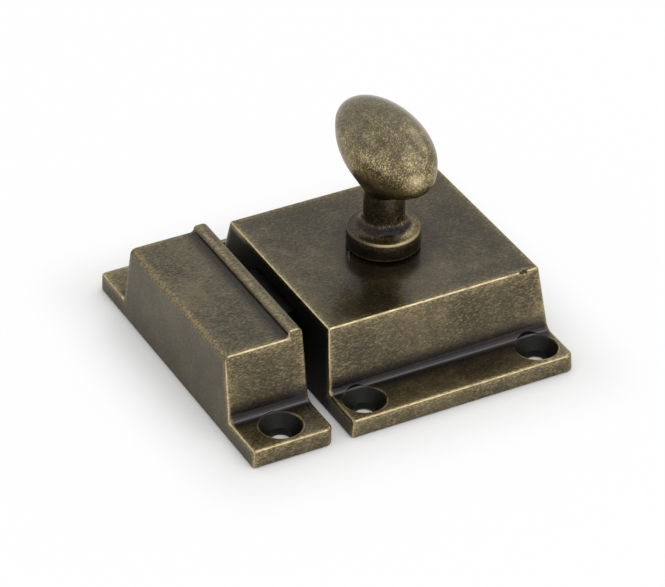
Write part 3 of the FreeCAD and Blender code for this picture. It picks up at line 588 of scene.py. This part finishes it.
def aged_brass(name, scene, marks, lift=0.0):
    """Brown patina with golden flecks and haze, bright worn edges and black corners, with painted shade on
    the sides and painted highlights; lift lightens it.
    """
    finish = scene.latch_brass
    wear = scene.latch_casting_wear
    material, graph = new_graph(name)
    place = graph.place()
    found = marks(scene.latch_form, wear, *graph.axes(place))
    edge = found.edge
    corner = found.corner
    black = found.black
    across, along, up = graph.axes(place.output("Normal"))
    flat = up.step(*TOP_FACE)
    wall = abs(along).step(*END_FACE)
    side = abs(across).step(*SIDE_FACE)
    cloud = graph.noise(place, finish.cloud_size, 1.0, detail=3.0)
    drawn = graph.stretched(place, (0, 0, 0), finish.grain_stretch)
    patch, grain, fine = brass_noises(graph, finish, place, drawn)

    broken = (patch - 0.5 + grain - 0.5) * wear.ragged + (cloud - 0.5) * wear.ragged_cloud
    line = (edge + broken).step(*wear.edge_line)
    bare = 0.95 * line * (patch * 0.7 + cloud * 0.3).step(0.38, 0.62)
    strip = (edge + broken * 3.0).step(*wear.edge_strip)
    halo = (edge + broken * 5.0).step(*wear.edge_halo)
    rim_line = found.rim * (patch + 0.3 * grain).step(0.5, 0.68)
    if found.nick:
        black = black.high(0.9 * (found.nick + broken * 3.0).step(*wear.nick))
    dust = graph.node("ShaderNodeTexVoronoi", {}, {"Vector": place, "Scale": 1 / finish.dust_spacing})
    dust = dust.step(*SPECK) * (flat + 0.6 * wall)
    if found.scratch:
        dust = dust.high(0.7 * flat * abs(found.scratch + broken * 1.5).step(*wear.scratch))

    # Sides are painted darker, with less grain, haze and golden halo: painted shade.
    rough_cast = 0.85 + 0.3 * wall - 0.3 * side + 2.4 * lift * flat
    soft = 1 - 0.45 * wall
    tone = (0.5 - 0.32 * side - (0.2 - lift) * flat + 1.5 * (cloud - 0.5) + soft * 0.8 * (patch - 0.5)
            + rough_cast * (1.6 * (grain - 0.5) + 1.8 * (fine - 0.5)))
    golden = fine * 0.65 + grain * 0.35 + 0.28 * (patch - 0.5) + 0.06 * halo + 0.06 * strip
    golden = golden.step(0.5, 0.74)
    haze = (patch * 0.5 + cloud * 0.5).step(0.46, 0.66) * (1 - side)
    # For the keeper, the flanges' rubbing also carries the painted highlight on the bead.
    worn = (golden * (0.14 + 0.15 * wall) + (halo * 0.05 + haze * 0.05) * (1 - side) + wall * 0.025
            + strip * (1 - 0.6 * wall) * (0.06 + 0.26 * golden)
            + found.rubbed * flat * (0.1 + 0.18 * golden))
    worn = worn.high(line * (0.25 + 0.9 * patch)).high(rim_line * 0.8)
    worn = worn * (1 - black) * (1 - 0.9 * corner)

    light = graph.blend(0.7 * flat + side, opaque(finish.light_patina), opaque(finish.olive_patina))
    patina = graph.blend(tone, opaque(finish.dark_patina), light)
    brass = graph.blend(worn, patina, opaque(finish.worn_brass))
    brass = graph.blend(bare * (1 - black), brass, opaque(finish.bare_brass))
    sooty = corner * (0.65 + 0.5 * patch)
    tint = graph.blend(sooty, brass, opaque(finish.soot))
    tint = graph.blend(black, tint, opaque(finish.black))
    # Painted highlight along the crease at the walls' foot.
    tint = graph.blend(0.13 * found.crease * (0.5 + patch), tint, opaque(finish.crease))
    tint = graph.blend(dust, tint, opaque(finish.dust))

    roughness = finish.roughness + 0.2 * (grain - 0.5) + 0.15 * (patch - 0.5)
    roughness = roughness - 0.06 * line - 0.06 * corner + 0.2 * black
    waves = graph.bump(graph.noise(place, finish.wave_size, 5.0, detail=1.0), finish.wave_depth)
    lacquer = finish.lacquer * (1 + 0.4 * flat) * (1 - 0.5 * worn)
    lacquer = lacquer * (1 - 0.85 * black) * (1 - 0.5 * corner)
    graph.finish(graph.node("ShaderNodeBsdfPrincipled", {}, {
        "Base Color": tint, "Metallic": 0.95 - 0.25 * sooty.high(black), "Roughness": roughness,
        "Specular Tint": opaque(finish.edge_tint), "Coat Weight": lacquer,
        "Coat Roughness": finish.casting_gloss,
        "Normal": graph.bump(grain + 0.5 * fine, finish.grain_depth, waves)}))
    return material


def knob_marks(form, wear, uneven, x, y, z):
    """Where the knob is rubbed, golden and black, with painted highlights and shade, all as shares; uneven
    shifts their borders.
    """
    radius = hypot(x, y)
    handled = (z + uneven + 0.12 * y).step(*shifted(form.neck_top, wear.handled))
    front = (y + uneven * 2).step(0.7 * form.egg_tip, -0.7 * form.egg_tip)
    from_tip = hypot(hypot(x + wear.tip_aside, y + form.egg_tip), z - form.equator) + uneven * 0.8
    # Share that faces the front, where painted light brightens the collar's rim and lightens its side.
    front_painted_light = (-0.1 * x - y).step(0.5 * form.collar_radius, form.collar_radius)
    from_rim = hypot(radius - form.collar_radius, z - form.collar_top) + uneven * 0.15
    from_foot = hypot(radius - form.collar_radius, z - form.collar_bottom)
    from_flare = hypot(radius - form.neck_radius, z - form.flare_top) + uneven * 0.15
    flank = z.step(*shifted(form.collar_top, wear.flank))
    root = abs(z - form.flare_top - wear.root_height + uneven * 0.3).step(*wear.root)
    lip = z.step(*shifted(form.neck_top, wear.lip))
    under = form.equator - z + uneven * 0.3
    return SimpleNamespace(
        handled=handled,
        crown=(z + uneven).step(*shifted(form.equator, wear.crown)),
        front=front,
        tip=from_tip.step(*wear.tip),
        painted_glint=from_tip.step(*wear.painted_glint),
        band=abs(z - form.equator + wear.band_drop).step(*wear.band),
        hem=abs(under - wear.hem_drop).step(*wear.hem) * front,
        shade=abs(under - wear.shade_drop).step(*wear.shade) * front,
        lip=lip * (1 - handled),
        root=root * (0.4 * x - y).step(0.3 * form.neck_radius, form.neck_radius),
        flare=from_flare.step(*wear.flare),
        ledge=(z + uneven * 0.2).step(*shifted(form.flare_top, wear.ledge)),
        lit=(0.5 * x - y).step(-0.2 * form.collar_radius, 0.6 * form.collar_radius),
        front_painted_light=front_painted_light,
        rim=from_rim.step(*wear.rim) * (0.12 + 0.42 * front_painted_light),
        flank=flank * radius.step(form.neck_radius, form.collar_radius),
        foot=from_foot.step(*wear.foot))


def knob_brass(name, scene):
    """Aged brass rubbed by hands on the egg and the collar's rim, dark on the neck and under the egg, with
    painted highlights, shade and reflection on the egg and the collar.
    """
    finish = scene.latch_brass
    wear = scene.latch_knob_wear
    material, graph = new_graph(name)
    place = graph.place()
    patch, grain, fine = brass_noises(graph, finish, place, place)
    streaks = [graph.noise(graph.stretched(place, turn, finish.scratch_stretch), finish.scratch_size,
                           10.0 + number, detail=1.0) for number, turn in enumerate(SCRATCH_TURNS)]
    scratch = streaks[0]
    for streak in streaks[1:]:
        scratch = scratch.high(streak)
    marks = (scratch + 0.12 * (patch - 0.5)).step(0.59, 0.69)
    found = knob_marks(scene.latch_form, wear, (patch - 0.5) * wear.uneven, *graph.axes(place))
    handled, crown, front = found.handled, found.crown, found.front
    ledge, flare, lit = found.ledge, found.flare, found.lit

    golden = (fine * 0.5 + grain * 0.5 + 0.5 * (patch - 0.5)).step(0.46, 0.66)
    rubbed = 0.5 + 0.6 * patch.step(0.36, 0.58)
    stroke = marks * (0.55 + 0.4 * front + 0.36 * found.band) * (1 - 0.35 * crown)
    stroke = stroke * (1 - 0.5 * found.shade)
    worn = handled * rubbed * (0.03 + 0.05 * front + stroke + 0.3 * found.tip)
    # The hem's gold under the egg is rubbed brass lightened as a painted reflection.
    worn = worn.high(0.12 * found.lip * (0.5 + patch)).high(found.hem * (0.2 + 0.5 * patch))
    # The rim's line is partly a painted highlight; the line at the collar's foot is a painted highlight.
    worn = worn.high(found.rim).high(found.foot * 0.3)
    # The collar's top face is golden on its lit side: painted light.
    worn = worn.high((0.12 * ledge + golden * (0.2 + 0.18 * ledge)) * (1 - flare) * (0.35 + 0.65 * lit))
    worn = worn.high(0.5 * found.root * golden)
    soot = (1 - handled) * 0.36 * (1 - ledge) * (1 - 0.8 * found.lip) * (1 - found.root)
    # Black in the hollow between collar and neck, and painted shade on the collar's top away from the
    # light.
    soot = (flare * 0.92).high(soot).high(0.6 * ledge * (1 - lit))

    light = graph.blend(crown, opaque(finish.light_patina), opaque(finish.olive_patina))
    tone = 0.26 + 0.3 * handled + 0.15 * crown + 1.2 * (patch - 0.5) + 2.4 * (grain - 0.5)
    patina = graph.blend(tone, opaque(finish.dark_patina), light)
    brass = graph.blend(worn, patina, opaque(finish.worn_brass))
    # Bare brass: a painted glint on the egg's tip and a painted highlight on the front of the collar's rim.
    bare = (found.painted_glint * (0.3 + 0.7 * marks)).high(found.rim * found.front_painted_light * 0.4)
    brass = graph.blend(bare, brass, opaque(finish.bare_brass))
    tint = graph.blend(soot * (1 - 0.4 * golden), brass, opaque(finish.soot))
    # Black on the collar's side: dark patina, with painted shade deeper away from the front.
    flank = (0.95 - 0.25 * found.front_painted_light) * found.flank * (1 - found.foot)
    tint = graph.blend(flank, tint, opaque(finish.black))

    roughness = finish.roughness + 0.12 * (marks - 0.5) + 0.1 * (patch - 0.5)
    roughness = roughness - 0.1 * found.tip - 0.1 * flare
    lacquer = finish.lacquer * (0.6 + 0.8 * crown) * (1 - 0.4 * worn) * (1 - 0.85 * flare)
    graph.finish(graph.node("ShaderNodeBsdfPrincipled", {}, {
        "Base Color": tint, "Metallic": 0.95 - 0.15 * soot, "Roughness": roughness,
        "Specular Tint": opaque(finish.edge_tint), "Coat Weight": lacquer,
        "Coat Roughness": finish.knob_gloss,
        "Normal": graph.bump(scratch + 0.5 * grain, finish.scratch_depth)}))
    return material


def brushed_metal(name, rgb, inner, nose_shade=None):
    """Metal with fine brush lines and light stains; the last argument gives painted shade: a darker colour
    and where it begins on X.
    """
    turn, roughness = BRUSHED[name]
    material, graph = new_graph(name)
    place = graph.place()
    drawn = graph.stretched(place, (0, 0, turn), inner.brush_stretch)
    lines = graph.noise(drawn, inner.brush_width, 1.0, detail=2.0)
    stain = graph.noise(place, inner.stain_size, 2.0, detail=4.0)
    shade = [inner.stain_shade * part for part in rgb]
    tint = graph.blend((lines * 0.5 + stain * 0.5).step(0.35, 0.65), opaque(shade), opaque(rgb))
    # Painted shade on the bolt's nose, out in the gap.
    if nose_shade:
        dark, start = nose_shade
        border = graph.axes(place)[0] + inner.nose_shade_ragged * (stain - 0.5)
        tint = graph.blend(border.step(start, start - inner.nose_shade_fade), tint, opaque(dark))
    graph.finish(graph.node("ShaderNodeBsdfPrincipled", {}, {
        "Base Color": tint, "Metallic": 1.0,
        "Roughness": roughness + 0.25 * (stain - 0.5) + 0.15 * (lines - 0.5),
        "Normal": graph.bump(lines, inner.brush_depth)}))
    return material


class LATCH_OT_case(bpy.types.Operator):
    """Finish the case in aged brass"""

    bl_idname = "latch.case"
    bl_label = "Case"

    def execute(self, context):
        brass = aged_brass("case_brass", context.scene, case_marks)
        coat_piece(frame["nodes"]["latch_case"], brass)
        return {"FINISHED"}


class LATCH_OT_keeper(bpy.types.Operator):
    """Finish the keeper in aged brass"""

    bl_idname = "latch.keeper"
    bl_label = "Keeper"

    def execute(self, context):
        lift = context.scene.latch_brass.keeper_lift
        brass = aged_brass("keeper_brass", context.scene, keeper_marks, lift)
        coat_piece(frame["nodes"]["keeper"], brass)
        return {"FINISHED"}


class LATCH_OT_knob(bpy.types.Operator):
    """Finish the egg knob in rubbed brass"""

    bl_idname = "latch.knob"
    bl_label = "Knob"

    def execute(self, context):
        coat_piece(frame["nodes"]["knob"], knob_brass("knob_brass", context.scene))
        return {"FINISHED"}


class LATCH_OT_bolt(bpy.types.Operator):
    """Finish the bolt and its thrust washer in machined brass"""

    bl_idname = "latch.bolt"
    bl_label = "Bolt and thrust washer"
    # Finish the bolt and its thrust washer in machined brass, with painted shade on the bolt's nose in the
    # gap

    def execute(self, context):
        inner = context.scene.latch_inner
        nose_shade = (context.scene.latch_brass.black, CASE_LOW.x + inner.nose_shade_depth)
        brass = brushed_metal("machined_brass", inner.brass, inner, nose_shade)
        for node in ("bolt", "thrust_washer"):
            coat_piece(frame["nodes"][node], brass)
        return {"FINISHED"}


class LATCH_OT_crank(bpy.types.Operator):
    """Finish the crank, its pin, screw and lock washer"""

    bl_idname = "latch.crank"
    bl_label = "Crank, pin, screw and washer"

    def execute(self, context):
        inner = context.scene.latch_inner
        zinc = brushed_metal("crank_zinc", inner.zinc, inner)
        for node in ("crank", "crank_pin", "crank_screw"):
            coat_piece(frame["nodes"][node], zinc)
        steel = brushed_metal("washer_steel", inner.spring_steel, inner)
        coat_piece(frame["nodes"]["lock_washer"], steel)
        return {"FINISHED"}


class LATCH_OT_cover(bpy.types.Operator):
    """Finish the cover plate and its screws in dull zinc"""

    bl_idname = "latch.cover"
    bl_label = "Cover plate and screws"

    def execute(self, context):
        inner = context.scene.latch_inner
        coat_piece(frame["nodes"]["cover_plate"], brushed_metal("cover_zinc", inner.zinc, inner))
        shade = [inner.screw_shade * part for part in inner.zinc]
        coat_piece(frame["nodes"]["cover_screws"], brushed_metal("screw_zinc", shade, inner))
        return {"FINISHED"}


def wound_wire(inner):
    """Mesh of round wire wound along X in the box of the solid spring."""
    wire_radius = inner.wire / 2
    middle = (SPRING_LOW + SPRING_HIGH) / 2
    coil_radius = SPRING_HIGH.y - middle.y - wire_radius
    start = SPRING_LOW.x + wire_radius
    rise = SPRING_HIGH.x - wire_radius - start
    steps = inner.coils * STEPS_PER_TURN
    wire = bmesh.new()
    rings = []
    for step in range(steps + 1):
        turn = 2 * math.pi * step / STEPS_PER_TURN
        outward = Vector((0, math.sin(turn), -math.cos(turn)))
        centre = Vector((start + rise * step / steps, middle.y, middle.z)) + coil_radius * outward
        rings.append([])
        for side in range(WIRE_SIDES):
            around = 2 * math.pi * side / WIRE_SIDES
            offset = math.cos(around) * outward + math.sin(around) * Vector((1, 0, 0))
            rings[-1].append(wire.verts.new(centre + wire_radius * offset))
    for ring, following in zip(rings, rings[1:]):
        for side in range(WIRE_SIDES):
            wire.faces.new((ring[side - 1], ring[side], following[side], following[side - 1]))
    wire.faces.new(rings[0])
    wire.faces.new(rings[-1])
    bmesh.ops.recalc_face_normals(wire, faces=wire.faces)
    for face in wire.faces:
        face.smooth = len(face.verts) == 4
    mesh = bpy.data.meshes.new("coil_spring")
    wire.to_mesh(mesh)
    wire.free()
    return mesh


class LATCH_OT_spring(bpy.types.Operator):
    """Wind the bolt's spring on the plates in place of the solid spring"""

    bl_idname = "latch.spring"
    bl_label = "Bolt spring"

    def execute(self, context):
        inner = context.scene.latch_inner
        spring = bpy.data.objects.new("coil_spring", wound_wire(inner))
        context.scene.collection.objects.link(spring)
        coat_piece(spring, brushed_metal("spring_wire", inner.spring_steel, inner))
        joints = {joint["name"]: joint for joint in frame["record"]["behaviour"]["joints"]}
        stroke = joints["bolt_slide"]["range_m"][1]
        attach(spring, "plates")
        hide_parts("bolt_spring")
        1 - stroke / (SPRING_HIGH.x - SPRING_LOW.x)
        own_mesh(spring)
        return {"FINISHED"}


def seen_directly(graph):
    """1 for rays that show a surface to the eye, also in a reflection or through glass."""
    camera = graph.node("ShaderNodeLightPath", {}, {}, "Is Camera Ray")
    return camera.high(camera.output("Is Glossy Ray")).high(camera.output("Is Transmission Ray"))


def floor_material(settings):
    """Pale floor that glows a little away from the latch, so that it is white and keeps its shadow; the
    glow's fade towards the latch paints more shade round it.
    """
    material, graph = new_graph("studio_floor")
    x, y = graph.axes(graph.place())[:2]
    middle = (CAD_LOW + CAD_HIGH) / 2
    beside = (abs(x - middle.x) - (CAD_HIGH.x - middle.x)).high(0.0)
    before = (abs(y - middle.y) - (CAD_HIGH.y - middle.y)).high(0.0)
    away = hypot(beside, before)
    # The glow fades towards the latch, which paints shade round it over its real shadow.
    glow_past_painted_shade = (settings.contact_share * away.step(0.0, settings.contact_reach)
                  + (1 - settings.contact_share) * away.step(0.0, settings.shadow_reach))
    glow = seen_directly(graph) * glow_past_painted_shade * settings.floor_glow
    pale = graph.node("ShaderNodeBsdfDiffuse", {}, {"Color": opaque(settings.floor_colour)})
    white = graph.node("ShaderNodeEmission", {}, {"Color": opaque(WHITE), "Strength": 1.0})
    graph.finish(graph.node("ShaderNodeMixShader", {}, {"Fac": glow, "Shader": pale, "Shader_001": white}))
    return material


def make_floor(settings):
    """Round floor just under the latch."""
    mesh = bpy.data.meshes.new("studio_floor")
    disc = bmesh.new()
    bmesh.ops.create_circle(disc, cap_ends=True, segments=FLOOR_SIDES, radius=settings.floor_radius)
    disc.to_mesh(mesh)
    disc.free()
    floor = bpy.data.objects.new("studio_floor", mesh)
    bpy.context.scene.collection.objects.link(floor)
    coat_piece(floor, floor_material(settings))
    floor.location.z = -settings.floor_drop


def make_dome(settings):
    """Even soft light from all round."""
    world = bpy.data.worlds.new("studio_dome")
    bpy.context.scene.world = world
    graph = Graph(world)
    light = graph.node("ShaderNodeBackground", {}, {"Color": opaque(WHITE), "Strength": settings.dome})
    graph.finish(light, "ShaderNodeOutputWorld")


def make_softbox(name, place, aim, width, brightness):
    """A square softbox that gives the same brightness all over its face."""
    lamp = bpy.data.lights.new(name, "AREA")
    lamp.shape = "SQUARE"
    lamp.size = width
    lamp.energy = brightness * width * width * math.pi
    box = bpy.data.objects.new(name, lamp)
    box.location = place
    box.rotation_mode = "QUATERNION"
    box.rotation_quaternion = (Vector(aim) - Vector(place)).to_track_quat("-Z", "Y")
    bpy.context.scene.collection.objects.link(box)


def make_camera(settings):
    """Camera that looks at the latch from the picture's side."""
    azimuth = settings.camera_azimuth
    elevation = settings.camera_elevation
    back = Vector((math.sin(azimuth) * math.cos(elevation), -math.cos(azimuth) * math.cos(elevation),
                   math.sin(elevation)))
    right = Vector((0, 0, 1)).cross(back).normalized()
    up = back.cross(right)
    turned_right = right * math.cos(settings.camera_roll) + up * math.sin(settings.camera_roll)
    turned_up = up * math.cos(settings.camera_roll) - right * math.sin(settings.camera_roll)
    lens = bpy.data.cameras.new("photo_camera")
    lens.sensor_fit = "HORIZONTAL"
    lens.lens = settings.focal_pixels / PICTURE_WIDTH * lens.sensor_width
    lens.clip_start = settings.camera_near
    camera = bpy.data.objects.new("photo_camera", lens)
    aim = Vector((settings.camera_aim_x, settings.camera_aim_y, 0))
    turn = Matrix((turned_right, turned_up, back)).transposed().to_4x4()
    camera.matrix_world = Matrix.Translation(aim + back * settings.camera_distance) @ turn
    bpy.context.scene.collection.objects.link(camera)
    bpy.context.scene.camera = camera


class LATCH_OT_stage(bpy.types.Operator):
    """Set the floor, the lights and the camera"""

    bl_idname = "latch.stage"
    bl_label = "Stage"

    def execute(self, context):
        settings = context.scene.latch_stage
        make_floor(settings)
        make_dome(settings)
        make_softbox("softbox_above", settings.above_place, settings.above_aim, settings.above_width,
                     settings.softbox_level)
        make_softbox("softbox_right", settings.right_place, settings.right_aim, settings.right_width,
                     settings.softbox_level)
        make_camera(settings)
        context.scene.view_settings.view_transform = "Standard"
        return {"FINISHED"}


OPERATORS = (LATCH_OT_case, LATCH_OT_keeper, LATCH_OT_knob, LATCH_OT_bolt, LATCH_OT_crank,
             LATCH_OT_cover, LATCH_OT_spring, LATCH_OT_stage)


class LATCH_PT_sidebar(bpy.types.Panel):
    """Steps that finish the latch"""

    bl_label = "Cupboard Latch"
    bl_idname = "LATCH_PT_sidebar"
    bl_space_type = "VIEW_3D"
    bl_region_type = "UI"
    bl_category = "Latch"

    def draw(self, context):
        for operator in OPERATORS:
            self.layout.operator(operator.bl_idname)


SETTINGS = {
    "latch_form": LatchForm,
    "latch_casting_wear": CastingWear,
    "latch_knob_wear": KnobWear,
    "latch_brass": BrassFinish,
    "latch_inner": InnerFinish,
    "latch_stage": StageSettings,
}
CLASSES = (*SETTINGS.values(), *OPERATORS, LATCH_PT_sidebar)


def register():
    for item in CLASSES:
        bpy.utils.register_class(item)
    for name, group in SETTINGS.items():
        setattr(bpy.types.Scene, name, PointerProperty(type=group))


def unregister():
    for name in SETTINGS:
        delattr(bpy.types.Scene, name)
    for item in reversed(CLASSES):
        bpy.utils.unregister_class(item)


def main():
    register()
    for operator in OPERATORS:
        group, name = operator.bl_idname.split(".")
        getattr(getattr(bpy.ops, group), name)()


if __name__ == "__main__":
    main()
